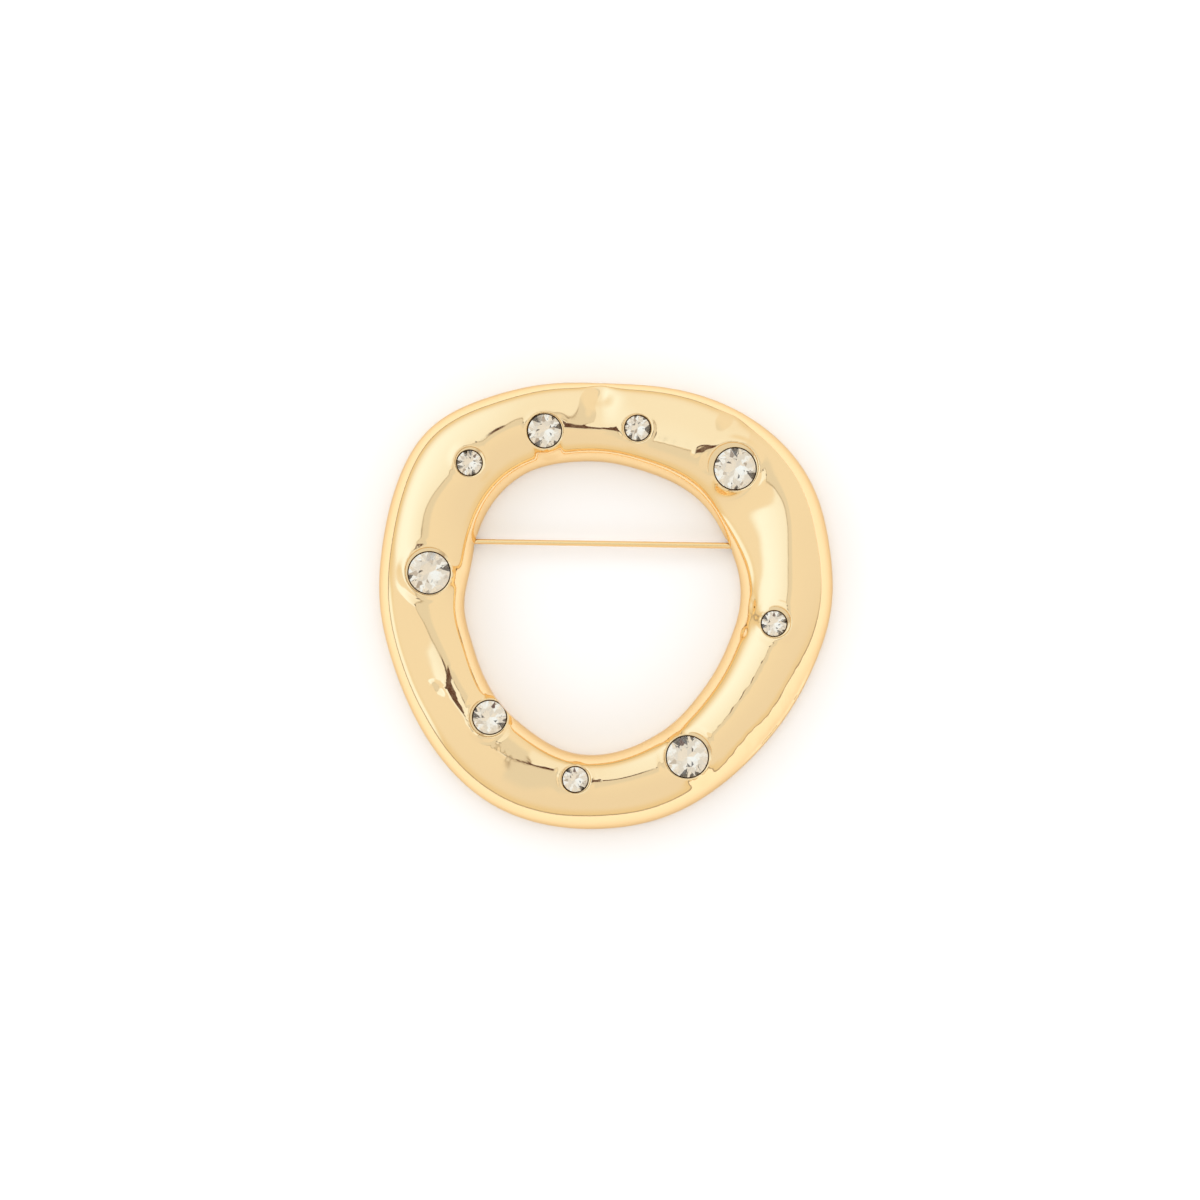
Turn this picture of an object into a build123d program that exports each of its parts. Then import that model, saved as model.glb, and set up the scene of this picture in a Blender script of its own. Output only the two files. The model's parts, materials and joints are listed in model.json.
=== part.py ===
from build123d import *
import os
from bisect import bisect_right
from collections import namedtuple
from math import cos, pi, radians, sin

# Circle pin brooch: an open cast ring with nine crystals and a pin behind it.
# Millimetres. The back lies on z = 0, the front faces +Z, and the origin is on
# the back's plane at the middle of the outline.

# Ring
outer_half_width = 25.0
hole_half_width = 15.6
ring_thickness = 5.4
widest_line_height = 1.5
back_rounding = 1.3
back_stock = 0.3

# Crystals
small_crystal = 2.7
medium_crystal = 3.6
large_crystal = 4.5
crystal_clearance = 0.05

# Pin and its findings
wire_diameter = 0.70
wire_diameter_at_catch = 0.56
wire_sides = 16
point_length = 2.0
tip_overhang = 0.6
eye_diameter = 1.7
eye_thickness = 0.64
rivet_diameter = 0.64
rivet_running_clearance = 0.05
rivet_seat_clearance = 0.02
rivet_head_diameter = 1.1
rivet_head_thickness = 0.22
ear_thickness = 0.42
ear_clearance = 0.07
finding_base_thickness = 0.45
finding_base_length = 2.6
catch_length = 1.5
catch_wall = 0.38
catch_bore_clearance = 0.20
catch_throat_clearance = 0.10
back_clearance = 0.15
seat_gap = 0.03

# Pockets and slot in the back that hold the findings
pocket_length = 4.4
pocket_width = 3.3
pocket_corner = 0.5
slot_clearance = 0.35

# Sections of the band, one for each azimuth in degrees, counted from +X.
# outer is a share of outer_half_width, hole of hole_half_width, crest of the
# band's own width, from the outer edge, and height of ring_thickness.
Section = namedtuple("Section", "azimuth outer hole crest height")
band_sections = [
    Section(0, 0.992, 0.942, 0.50, 0.95),
    Section(15, 1.016, 0.959, 0.44, 0.95),
    Section(30, 1.049, 0.963, 0.34, 0.95),
    Section(45, 1.049, 0.984, 0.42, 0.96),
    Section(60, 1.023, 0.984, 0.58, 0.94),
    Section(75, 0.990, 0.980, 0.62, 0.92),
    Section(90, 0.974, 1.005, 0.57, 0.91),
    Section(105, 1.005, 1.040, 0.50, 0.91),
    Section(120, 1.051, 1.083, 0.42, 0.93),
    Section(135, 1.096, 1.079, 0.50, 0.96),
    Section(150, 1.063, 1.037, 0.40, 0.95),
    Section(165, 1.018, 0.989, 0.44, 0.96),
    Section(180, 0.994, 0.998, 0.51, 0.95),
    Section(195, 0.972, 0.980, 0.58, 0.95),
    Section(210, 0.974, 0.994, 0.60, 0.96),
    Section(225, 0.994, 1.016, 0.66, 0.97),
    Section(240, 1.010, 1.037, 0.65, 0.98),
    Section(255, 1.001, 1.065, 0.69, 0.98),
    Section(270, 0.983, 1.047, 0.64, 0.98),
    Section(285, 0.968, 0.998, 0.62, 0.99),
    Section(300, 0.944, 0.952, 0.57, 1.00),
    Section(315, 0.928, 0.910, 0.56, 0.99),
    Section(330, 0.933, 0.896, 0.57, 0.97),
    Section(345, 0.955, 0.906, 0.55, 0.96),
]

# Shallow dents of the front. across is a share of the band's width from the
# outer edge, width and depth are shares of ring_thickness.
Dent = namedtuple("Dent", "azimuth across width depth")
dents = [
    Dent(93, 0.22, 0.50, 0.030),
    Dent(115, 0.16, 0.56, 0.026),
    Dent(184, 0.20, 0.44, 0.034),
    Dent(208, 0.46, 0.50, 0.030),
    Dent(250, 0.30, 0.52, 0.020),
    Dent(328, 0.24, 0.60, 0.030),
    Dent(342, 0.20, 0.46, 0.022),
    Dent(30, 0.62, 0.50, 0.026),
]

# Crystals, counted against the clock from the upper left. across is a share
# of the band's width from the outer edge, turn is in degrees.
Crystal = namedtuple("Crystal", "node diameter azimuth across turn")
crystals = [
    Crystal("crystal_01", small_crystal, 134.0, 0.543, 8),
    Crystal("crystal_02", medium_crystal, 109.6, 0.578, 30),
    Crystal("crystal_03", small_crystal, 80.1, 0.538, 17),
    Crystal("crystal_04", large_crystal, 46.7, 0.522, 12),
    Crystal("crystal_05", small_crystal, 353.7, 0.599, 0),
    Crystal("crystal_06", large_crystal, 298.0, 0.557, 22),
    Crystal("crystal_07", small_crystal, 259.8, 0.656, 5),
    Crystal("crystal_08", medium_crystal, 223.8, 0.784, 26),
    Crystal("crystal_09", large_crystal, 169.7, 0.562, 3),
]

# Cut of a crystal, in shares of its diameter
Cut = namedtuple("Cut", "table star_radius crown girdle pavilion break_radius sink")
cut = Cut(table=0.52, star_radius=0.38, crown=0.17, girdle=0.03, pavilion=0.40, break_radius=0.20, sink=0.12)
facets_round = 8

# The pin runs from its hinge to its catch, each a place on the band
Place = namedtuple("Place", "azimuth across")
hinge_place = Place(19.1, 0.56)
catch_place = Place(159.7, 0.54)


def band_at(azimuth):
    """The band's section at any azimuth, between its two nearest rows."""
    azimuth = azimuth % 360
    azimuths = [row.azimuth for row in band_sections]
    first = bisect_right(azimuths, azimuth) - 1
    low = band_sections[first]
    high = band_sections[(first + 1) % len(band_sections)]
    step = (high.azimuth - low.azimuth) % 360
    part = (azimuth - low.azimuth) / step
    mixed = [a + (b - a) * part for a, b in zip(low[1:], high[1:])]
    return Section(azimuth, *mixed)


def band_place(azimuth, across):
    """X and Y of a place on the band, across counted from the outer edge."""
    row = band_at(azimuth)
    outer = outer_half_width * row.outer
    hole = hole_half_width * row.hole
    radius = outer - (outer - hole) * across
    return radius * cos(radians(azimuth)), radius * sin(radians(azimuth))


def section_wire(row):
    """Two elliptical shoulders, two rounded lower edges and the stock that is ground off the back."""
    outer = outer_half_width * row.outer
    hole = hole_half_width * row.hole
    crest = outer - (outer - hole) * row.crest
    shoulder = ring_thickness * row.height - widest_line_height
    lower = widest_line_height + back_stock
    turn = radians(row.azimuth)
    plane = Plane(origin=(0, 0, 0), x_dir=(cos(turn), sin(turn), 0), z_dir=(sin(turn), -cos(turn), 0))

    def quarter(radius, x_radius, y_radius, start):
        centre = plane.from_local_coords((radius, widest_line_height, 0))
        place = Plane(origin=centre, x_dir=plane.x_dir, z_dir=plane.z_dir)
        return Edge.make_ellipse(x_radius, y_radius, place, start_angle=start, end_angle=start + 90)

    back_inner = plane.from_local_coords((hole + back_rounding, -back_stock, 0))
    back_outer = plane.from_local_coords((outer - back_rounding, -back_stock, 0))
    edges = [
        Edge.make_line(back_inner, back_outer),
        quarter(outer - back_rounding, back_rounding, lower, 270),
        quarter(crest, outer - crest, shoulder, 0),
        quarter(crest, crest - hole, shoulder, 90),
        quarter(hole + back_rounding, back_rounding, lower, 180),
    ]
    return Wire(edges)


def ring_blank():
    """The whole band before it is dented, drilled and pocketed."""
    wires = [section_wire(row) for row in band_sections]
    return Solid.make_loft(wires + [wires[0]], ruled=False)


def front_point(blank, x, y):
    """The point of the ring's front over a place, and the normal there."""
    hits = blank.shell().find_intersection_points(Axis((x, y, 0), (0, 0, 1)))
    return max(hits, key=lambda hit: hit[0].Z)


def dent_ball(blank, dent):
    """A ball that takes a round hollow out of the front."""
    half_width = ring_thickness * dent.width / 2
    depth = ring_thickness * dent.depth
    radius = (half_width**2 + depth**2) / (2 * depth)
    point, normal = front_point(blank, *band_place(dent.azimuth, dent.across))
    centre = point + normal * (radius - depth)
    return Pos(*centre) * Sphere(radius)


def crystal_base(blank, row):
    """Where a crystal's girdle centre lies, sunk below the ring's front."""
    x, y = band_place(row.azimuth, row.across)
    point, normal = front_point(blank, x, y)
    return Vector(x, y, point.Z - cut.sink * row.diameter)


def polar(radius, steps, height):
    """A point at a number of half facets round the crystal."""
    turn = pi * steps / facets_round
    return (radius * cos(turn), radius * sin(turn), height)


def crystal_solid(diameter):
    """Round brilliant cut: its girdle's upper edge lies on z = 0."""
    rim = diameter / 2
    table = cut.table * rim
    star = cut.star_radius * diameter
    lower = cut.break_radius * diameter
    top = cut.crown * diameter
    girdle = -cut.girdle * diameter
    culet = girdle - cut.pavilion * diameter
    half = cos(pi / facets_round)
    star_height = top - top * (star * half - table) / (rim - table)
    lower_height = culet + (girdle - culet) * lower * half / rim
    faces = [[polar(table, 2 * k, top) for k in range(facets_round)]]
    for k in range(facets_round):
        main, side, after = 2 * k, 2 * k + 1, 2 * k + 2
        corner = polar(table, main, top)
        next_corner = polar(table, after, top)
        left = polar(star, side - 2, star_height)
        right = polar(star, side, star_height)
        rim_main = polar(rim, main, 0)
        rim_side = polar(rim, side, 0)
        rim_after = polar(rim, after, 0)
        low_main = polar(rim, main, girdle)
        low_side = polar(rim, side, girdle)
        low_after = polar(rim, after, girdle)
        low_left = polar(lower, side - 2, lower_height)
        low_right = polar(lower, side, lower_height)
        tip = (0, 0, culet)
        faces += [
            [corner, right, next_corner],
            [corner, left, rim_main, right],
            [right, rim_main, rim_side],
            [right, rim_side, rim_after],
            [rim_main, low_main, low_side, rim_side],
            [rim_side, low_side, low_after, rim_after],
            [low_main, low_left, tip, low_right],
            [low_right, low_side, low_main],
            [low_right, low_after, low_side],
        ]
    shell = Shell([Face(Wire.make_polygon(points)) for points in faces])
    return Solid(shell)


def socket(diameter):
    """Round seat that clears the crystal all over and opens upwards."""
    radius = diameter / 2 + crystal_clearance
    girdle = cut.girdle * diameter + crystal_clearance
    depth = cut.pavilion * diameter
    mouth = girdle + ring_thickness
    bottom = Align.MIN
    seat = Pos(0, 0, -girdle - depth) * Cone(
        2 * crystal_clearance, radius, depth, align=(Align.CENTER, Align.CENTER, bottom))
    wall = Pos(0, 0, -girdle) * Cylinder(radius, mouth, align=(Align.CENTER, Align.CENTER, bottom))
    return seat + wall


# Heights of the findings above the back
ear_radius = eye_diameter / 2
catch_bore = wire_diameter_at_catch / 2 + catch_bore_clearance
catch_radius = catch_bore + catch_wall
axis_height = max(ear_radius, catch_radius, rivet_head_diameter / 2) + back_clearance
base_underside = axis_height + max(ear_radius, catch_radius) + ear_clearance
pocket_roof = base_underside + finding_base_thickness + seat_gap

# The pin's own plane: local X from the hinge to the catch, local Z upwards
hinge_x, hinge_y = band_place(*hinge_place)
catch_x, catch_y = band_place(*catch_place)
pin_plane = Plane(
    origin=(hinge_x, hinge_y, axis_height), x_dir=(catch_x - hinge_x, catch_y - hinge_y, 0), z_dir=(0, 0, 1))
pin_place = pin_plane.location
catch_reach = Vector(catch_x - hinge_x, catch_y - hinge_y, 0).length
ear_spacing = max(eye_thickness, wire_diameter) / 2 + ear_clearance
ear_outside = ear_spacing + ear_thickness


def pocket(reach):
    """A rounded pocket in the back, its middle at a distance along the pin."""
    outline = RectangleRounded(pocket_length, pocket_width, pocket_corner)
    height = pocket_roof + back_rounding
    return Pos(reach, 0, pocket_roof - axis_height - height) * extrude(outline, height)


def pin_slot():
    """The open-bottomed way of the pin between its two pockets."""
    width = wire_diameter + 2 * slot_clearance
    top = wire_diameter / 2 + slot_clearance
    height = top + axis_height + back_rounding
    return Pos(catch_reach / 2, 0, top - height / 2) * Box(catch_reach, width, height)


def cross_pin(radius, length):
    """A cylinder across the pin, along the hinge's axis."""
    return Rotation(90, 0, 0) * Cylinder(radius, length)


def pin_stem():
    """Flattened eye, tapering wire and sharp point, lying along local X."""
    eye = cross_pin(eye_diameter / 2, eye_thickness)
    wire_start = rivet_diameter / 2 + rivet_running_clearance + wire_diameter / 4
    point_start = catch_reach + catch_length / 2 + tip_overhang - point_length
    thin = wire_diameter_at_catch / 2
    stations = [
        (wire_start, wire_diameter / 2),
        (point_start, thin),
        (point_start + point_length, thin / 5),
    ]
    rounds = [Plane.YZ.offset(reach) * RegularPolygon(radius, wire_sides) for reach, radius in stations]
    wire = Solid.make_loft([outline.wire() for outline in rounds], ruled=True)
    return eye + wire - cross_pin(rivet_diameter / 2 + rivet_running_clearance, eye_diameter)


def finding_base():
    """The plate by which a finding is fixed under the pocket's roof."""
    middle = base_underside + finding_base_thickness / 2 - axis_height
    width = 2 * ear_outside
    return Pos(0, 0, middle) * Box(finding_base_length, width, finding_base_thickness)


def pin_joint():
    """Two ears under one base, drilled for the rivet."""
    drop = base_underside - axis_height
    bottom = (Align.CENTER, Align.MIN)
    outline = Circle(ear_radius) + Rectangle(2 * ear_radius, drop, align=bottom)
    ear = Rotation(90, 0, 0) * extrude(outline, ear_thickness)
    near = Pos(0, -ear_spacing, 0) * ear
    far = Pos(0, ear_outside, 0) * ear
    hole = cross_pin(rivet_diameter / 2 + rivet_seat_clearance, 3 * ear_outside)
    return finding_base() + near + far - hole


def joint_rivet():
    """A pin through both ears with a flat head on each side."""
    reach = ear_outside + rivet_seat_clearance
    body = cross_pin(rivet_diameter / 2, 2 * reach + rivet_head_thickness)
    head = cross_pin(rivet_head_diameter / 2, rivet_head_thickness)
    side = reach + rivet_head_thickness / 2
    return body + Pos(0, side, 0) * head + Pos(0, -side, 0) * head


def pin_catch():
    """A hook round the pin, its mouth facing down and just wider than the wire."""
    drop = base_underside - axis_height
    throat = wire_diameter_at_catch + 2 * catch_throat_clearance
    neck = Rectangle(2 * catch_wall, drop, align=(Align.CENTER, Align.MIN))
    mouth = Rectangle(throat, 2 * catch_radius, align=(Align.CENTER, Align.MAX))
    outline = Circle(catch_radius) + neck - Circle(catch_bore) - mouth
    hook = Plane.YZ * extrude(outline, catch_length)
    return Pos(catch_reach, 0, 0) * (finding_base() + Pos(-catch_length / 2, 0, 0) * hook)


def ring_frame(blank):
    """The blank with its back ground flat, and its dents, sockets, pockets and slot."""
    width = 4 * outer_half_width
    grinding = Box(width, width, 2 * back_stock, align=(Align.CENTER, Align.CENTER, Align.MAX))
    cutters = [grinding] + [dent_ball(blank, dent) for dent in dents]
    for row in crystals:
        cutters.append(Pos(*crystal_base(blank, row)) * socket(row.diameter))
    cutters += [pin_place * pocket(0), pin_place * pocket(catch_reach), pin_place * pin_slot()]
    ring = blank
    for cutter in cutters:
        ring = ring - cutter
    return ring


blank = ring_blank()
nodes = {"ring_frame": ring_frame(blank)}
for row in crystals:
    nodes[row.node] = Pos(*crystal_base(blank, row)) * Rotation(0, 0, row.turn) * crystal_solid(row.diameter)
nodes["pin_stem"] = pin_place * pin_stem()
nodes["pin_joint"] = pin_place * pin_joint()
nodes["joint_rivet"] = pin_place * joint_rivet()
nodes["pin_catch"] = pin_place * pin_catch()

# The outline's middle comes to the origin
middle = blank.bounding_box().center()
centring = Pos(-middle.X, -middle.Y, 0)

os.makedirs("parts", exist_ok=True)
for name, shape in nodes.items():
    export_step(centring * shape, f"parts/{name}.step")

hinge = centring * pin_place * Pos(0, 0, 0)
catch = centring * pin_place * Pos(catch_reach, 0, 0)
print("hinge", [round(value, 4) for value in hinge.position], "axis", [round(value, 5) for value in pin_plane.y_dir])
print("catch", [round(value, 4) for value in catch.position], "pocket roof", round(pocket_roof, 3))
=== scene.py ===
import json
from collections import namedtuple
from math import cos, hypot, pi, radians, sin, tan

import bmesh
import bpy
import numpy as np
from bpy.props import FloatProperty, IntProperty, PointerProperty, StringProperty
from mathutils import Matrix, Vector, noise
from mathutils.bvhtree import BVHTree


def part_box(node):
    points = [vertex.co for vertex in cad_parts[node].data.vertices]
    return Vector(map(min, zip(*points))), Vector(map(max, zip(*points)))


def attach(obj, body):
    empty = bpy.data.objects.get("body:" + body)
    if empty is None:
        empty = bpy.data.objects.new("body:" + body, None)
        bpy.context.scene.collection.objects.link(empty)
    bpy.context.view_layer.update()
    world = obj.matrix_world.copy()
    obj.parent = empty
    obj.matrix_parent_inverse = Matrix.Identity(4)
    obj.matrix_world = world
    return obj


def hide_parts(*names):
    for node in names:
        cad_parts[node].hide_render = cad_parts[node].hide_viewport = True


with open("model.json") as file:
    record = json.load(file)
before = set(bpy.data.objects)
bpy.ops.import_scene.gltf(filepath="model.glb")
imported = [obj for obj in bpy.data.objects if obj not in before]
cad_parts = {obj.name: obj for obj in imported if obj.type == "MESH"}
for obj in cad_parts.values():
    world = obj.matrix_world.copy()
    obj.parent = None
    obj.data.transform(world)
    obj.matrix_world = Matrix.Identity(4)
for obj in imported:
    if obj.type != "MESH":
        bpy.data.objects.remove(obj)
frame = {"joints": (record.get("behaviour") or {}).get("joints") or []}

bl_info = {
    "name": "Circle Pin Brooch",
    "version": (1, 0, 0),
    "blender": (4, 5, 0),
    "location": "3D View > Sidebar > Brooch",
    "description": "Hand-formed gold ring set with nine foiled crystals, and the pin behind it",
    "category": "Object",
}

# Pieces are modelled in millimetres and brought to metres when they are finished
MM = 0.001
UP = Vector((0, 0, 1))
# Height at which a cutter's lip is turned before it is laid on the front
LIP_MARK = 50.0
# The ring's material slots
POLISHED, BACK, SOCKET = 0, 1, 2
# A face is the flat back's when it lies this low and its normal points this nearly straight down
BACK_LEVEL, BACK_NORMAL = 0.05, -0.9995
# Heights in millimetres between which each form of the front fades in
PRESS_FADE = (1.5, 2.3)
LAND_FADE = (4.1, 4.9)
RIM_FADE = (4.6, 5.1)
WALL_FADE = (1.2, 2.4)
FLATS_ABOVE = 2
# A flat's plane goes through the middle of what lies within this distance of its path
FLAT_CORE = 0.05
# A land is fitted to a band of this half width round the lip, down to this depth under the girdle
FIT_WIDTH, FIT_DEPTH = 0.25, 2
# The wall of a cup where it is drawn up: how far its top is over the girdle and
# how wide that is, how steeply it falls outside, how soft it joins the front,
# and the distances between which it fades out
WALL_TOP, WALL_WIDTH, WALL_FALL, WALL_SOFT = 0.02, 0.12, 1.1, 0.02
WALL_REACH = (0.5, 1.4)
# Share of a cup's extra width by which its lip is moved to one side
CUP_SHIFT = 0.8
# Places in the noise where the slow and the quick waves are read
SLOW_SEED, QUICK_SEED = 0.3, 7.1
# Angles in degrees up to which edges are shaded smooth
SMOOTH_RING, SMOOTH_FINDINGS = 38, 30
# Where the dark lens hangs in the tent, in degrees
LENS_AZIMUTH, LENS_ELEVATION = 90, 85.5

# Sections of the band, one every 15 degrees from +X against the clock. outer
# and hole are shares of the half widths, crest of the band's width from the
# outer edge, and height of the ring's thickness.
Section = namedtuple("Section", "outer hole crest height")
BAND_SECTIONS = [
    Section(0.992, 0.942, 0.50, 0.955),
    Section(1.016, 0.959, 0.44, 0.950),
    Section(1.049, 0.963, 0.34, 0.955),
    Section(1.049, 0.984, 0.42, 0.965),
    Section(1.023, 0.984, 0.58, 0.955),
    Section(0.990, 0.980, 0.62, 0.914),
    Section(0.974, 1.005, 0.57, 0.898),
    Section(1.005, 1.040, 0.50, 0.910),
    Section(1.051, 1.083, 0.42, 0.973),
    Section(1.096, 1.079, 0.50, 0.980),
    Section(1.063, 1.037, 0.40, 0.965),
    Section(1.018, 0.989, 0.44, 0.975),
    Section(0.994, 0.998, 0.51, 0.955),
    Section(0.972, 0.980, 0.58, 0.940),
    Section(0.974, 0.994, 0.60, 0.968),
    Section(0.994, 1.016, 0.66, 0.990),
    Section(1.010, 1.037, 0.65, 0.992),
    Section(1.001, 1.065, 0.69, 1.000),
    Section(0.983, 1.047, 0.64, 0.995),
    Section(0.968, 0.998, 0.62, 0.990),
    Section(0.944, 0.952, 0.57, 0.990),
    Section(0.928, 0.910, 0.56, 0.985),
    Section(0.933, 0.896, 0.57, 0.975),
    Section(0.955, 0.906, 0.55, 0.965),
]

# How the two shoulders run down, every 45 degrees from +X. edge is the height of the
# widest line in millimetres, full is 2 on an ellipse and more on a fuller one.
Shoulder = namedtuple("Shoulder", "outer_edge outer_full inner_edge inner_full")
SHOULDERS = [
    Shoulder(0.8, 1.85, 0.9, 1.9),
    Shoulder(1.4, 2.0, 1.0, 1.8),
    Shoulder(2.1, 2.4, 0.8, 1.75),
    Shoulder(1.7, 2.2, 0.9, 1.8),
    Shoulder(1.5, 2.0, 0.9, 2.15),
    Shoulder(1.2, 1.8, 1.2, 2.1),
    Shoulder(0.7, 1.8, 1.5, 2.1),
    Shoulder(0.7, 1.8, 1.3, 2.0),
]

# Presses of the modeller's thumb and tool in the wax, by place in millimetres.
# turn is the long side's direction in degrees, depth is below the surface and
# less than 0 where wax stands up, and rough is the small unevenness left there.
Press = namedtuple("Press", "x y length width turn depth rough")
PRESSES = [
    Press(-0.6, 22.9, 2.8, 3.0, 90, 1.00, 0.03),
    Press(-0.6, 20.8, 2.4, 3.0, 90, 0.30, 0),
    Press(13.8, 19.9, 2.6, 2.6, 55, 0.24, 0.02),
    Press(-21.4, 0.3, 3.4, 1.1, 130, -0.14, 0),
    Press(-17.8, -9.0, 1.0, 0.8, 70, 0.12, 0),
    Press(20.9, -9.5, 7.0, 2.4, 63, 0.36, 0.12),
    Press(16.6, -15.0, 7.0, 2.4, 45, 0.42, 0.12),
    Press(16.5, -8.1, 16.0, 2.4, 57, 0.00, 0.02),
    Press(3.7, 18.3, 10.0, 2.0, 170, 0.00, 0.01),
    Press(11.3, -16.1, 0.5, 0.4, 0, -0.20, 0),
    Press(14.9, 11.7, 5.0, 5.0, 60, 0.36, 0),
    Press(16.1, 0.1, 1.6, 0.6, 85, 0.12, 0),
    Press(15.1, -2.9, 1.2, 0.6, 70, 0.12, 0),
]

# Flats smoothed on the wax with a warm knife, along a path of x, y and half
# width in millimetres, with edges of a soft width. Each shows the camera what
# hangs at an azimuth and elevation of the tent: the lens, where none are given.
Flat = namedtuple("Flat", "path soft azimuth elevation", defaults=(LENS_AZIMUTH, LENS_ELEVATION))
FLATS = [
    Flat([(-5.0, 20.5, 0.18), (-4.3, 19.8, 0.35), (-1.8, 19.5, 0.24), (1.2, 19.4, 0.24),
          (1.9, 18.7, 0.11)], 0.22),
    Flat([(9.7, 16.7, 0.15), (10.7, 17.2, 0.24), (12.1, 17.6, 0.11)], 0.3),
    Flat([(-17.2, -6.6, 0.09), (-17.3, -8.5, 0.46), (-16.6, -10.1, 0.46), (-15.4, -12.1, 0.22),
          (-14.4, -14.0, 0.09)], 0.25),
    Flat([(-12.3, -15.5, 0.06), (-10.8, -16.4, 0.19), (-8.4, -17.3, 0.11), (-5.7, -17.9, 0.20)], 0.2),
    Flat([(-1.8, -19.2, 0.20), (-1.0, -19.2, 0.20), (-0.6, -19.1, 0.07)], 0.2),
    Flat([(-21.4, 5.9, 0.09), (-20.6, 6.7, 0.20), (-19.7, 6.9, 0.13)], 0.2),
    Flat([(-19.0, -8.5, 0.17), (-18.5, -9.0, 0.33)], 0.3, 328, 85),
]

# Crystals against the clock from the upper left. turn is in degrees, and land
# is how level the front is made round the socket. The cup is that much wider
# than the crystal in millimetres, most of it toward a direction in degrees.
Crystal = namedtuple("Crystal", "node size turn land cup toward")
CRYSTALS = [
    Crystal("crystal_01", "small", 8, 0.6, 0.16, 45),
    Crystal("crystal_02", "medium", 50, 0.1, 0.05, 0),
    Crystal("crystal_03", "small", 17, 0.3, 0.08, 200),
    Crystal("crystal_04", "large", 12, 0.35, 0.34, 150),
    Crystal("crystal_05", "small", 0, 0.5, 0.22, 60),
    Crystal("crystal_06", "large", 22, 0.3, 0.20, 60),
    Crystal("crystal_07", "small", 5, 0.2, 0.10, 60),
    Crystal("crystal_08", "medium", 26, 0.3, 0.12, 190),
    Crystal("crystal_09", "large", 48, 0.3, 0.20, 90),
]

# Cut of a crystal in shares of its diameter, and of its table in shares of its radius
Cut = namedtuple("Cut", "table star_radius crown girdle pavilion break_radius")
CUT = Cut(table=0.52, star_radius=0.38, crown=0.17, girdle=0.03, pavilion=0.40, break_radius=0.20)
FACETS_ROUND = 8


# Plated surfaces that aren't mirror bright: the finish that gives their colour,
# and the length and depth of their grain in millimetres
Plate = namedtuple("Plate", "colour roughness grain depth")
PLATES = {
    # The ground flat back has a broad, soft sheen
    "unpolished_gold_plate": Plate("back_gold", 0.34, 0.35, 0.01),
    # Down in the sockets the plate is thin and dull, and its colour is darkened as painted shade for the
    # crevice round each crystal
    "dull_socket_plate_painted_shade": Plate("socket_gold_painted_shade", 0.4, 0.3, 0.01),
    # Drawn wire is smooth, and nearly a mirror
    "drawn_plated_wire": Plate("wire_gold", 0.14, 0.5, 0.001),
    # Stamped and bent steel shows soft highlights
    "stamped_gold_plated_steel": Plate("back_gold", 0.2, 0.4, 0.002),
    "bent_gold_plated_steel": Plate("back_gold", 0.2, 0.4, 0.002),
}


def setting(name, description, default, **kind):
    """A property of the type that its default has."""
    make = {float: FloatProperty, int: IntProperty, str: StringProperty}[type(default)]
    return make(name=name, description=description, default=default, **kind)


class RingSizes(bpy.types.PropertyGroup):
    """Sizes of the cast ring, in millimetres"""

    outer_half_width: setting("Outer half width", "Half width of the outline", 25.0)
    hole_half_width: setting("Hole half width", "Half width of the hole", 15.6)
    thickness: setting("Thickness", "Height of the highest section", 5.4)
    back_rounding: setting("Back rounding", "Width of the round at the back's edges", 1.3)
    steps_round: setting("Steps round", "Sections along the band", 840)
    steps_shoulder: setting("Steps on a shoulder", "Steps from an edge to the crest", 44)
    steps_back: setting("Steps on the back", "Steps on each round and on the flat", 5)
    socket_gap: setting("Socket gap", "Crevice round a crystal", 0.12)
    lip_radius: setting("Lip radius", "Round of a socket's lip", 0.16)
    lip_flat: setting("Lip flat", "Level land round a lip", 0.14)
    lip_blend: setting("Lip blend", "Width in which the land joins the band", 0.9)
    rim_height: setting("Rim height", "Height of the wax pushed up round a cup", 0.05)
    rim_width: setting("Rim width", "Half width of that rim", 0.24)
    slow_wave: setting("Slow wave", "Length of the slow waves", 5.0)
    slow_height: setting("Slow height", "Height of the slow waves", 0.05)
    quick_wave: setting("Quick wave", "Length of the waves in a flat's edge", 0.9)
    ragged: setting("Ragged", "Height of those waves", 0.06)
    pocket_length: setting("Pocket length", "Pocket's size along the pin", 4.4)
    pocket_width: setting("Pocket width", "Pocket's size across the pin", 3.3)
    pocket_corner: setting("Pocket corner", "Round of its corners", 0.5)
    pocket_roof: setting("Pocket roof", "Height of its roof over the back", 2.42)
    slot_width: setting("Slot width", "Width of the pin's way", 1.4)
    slot_top: setting("Slot top", "Its height over the pin's axis", 0.5)


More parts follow.
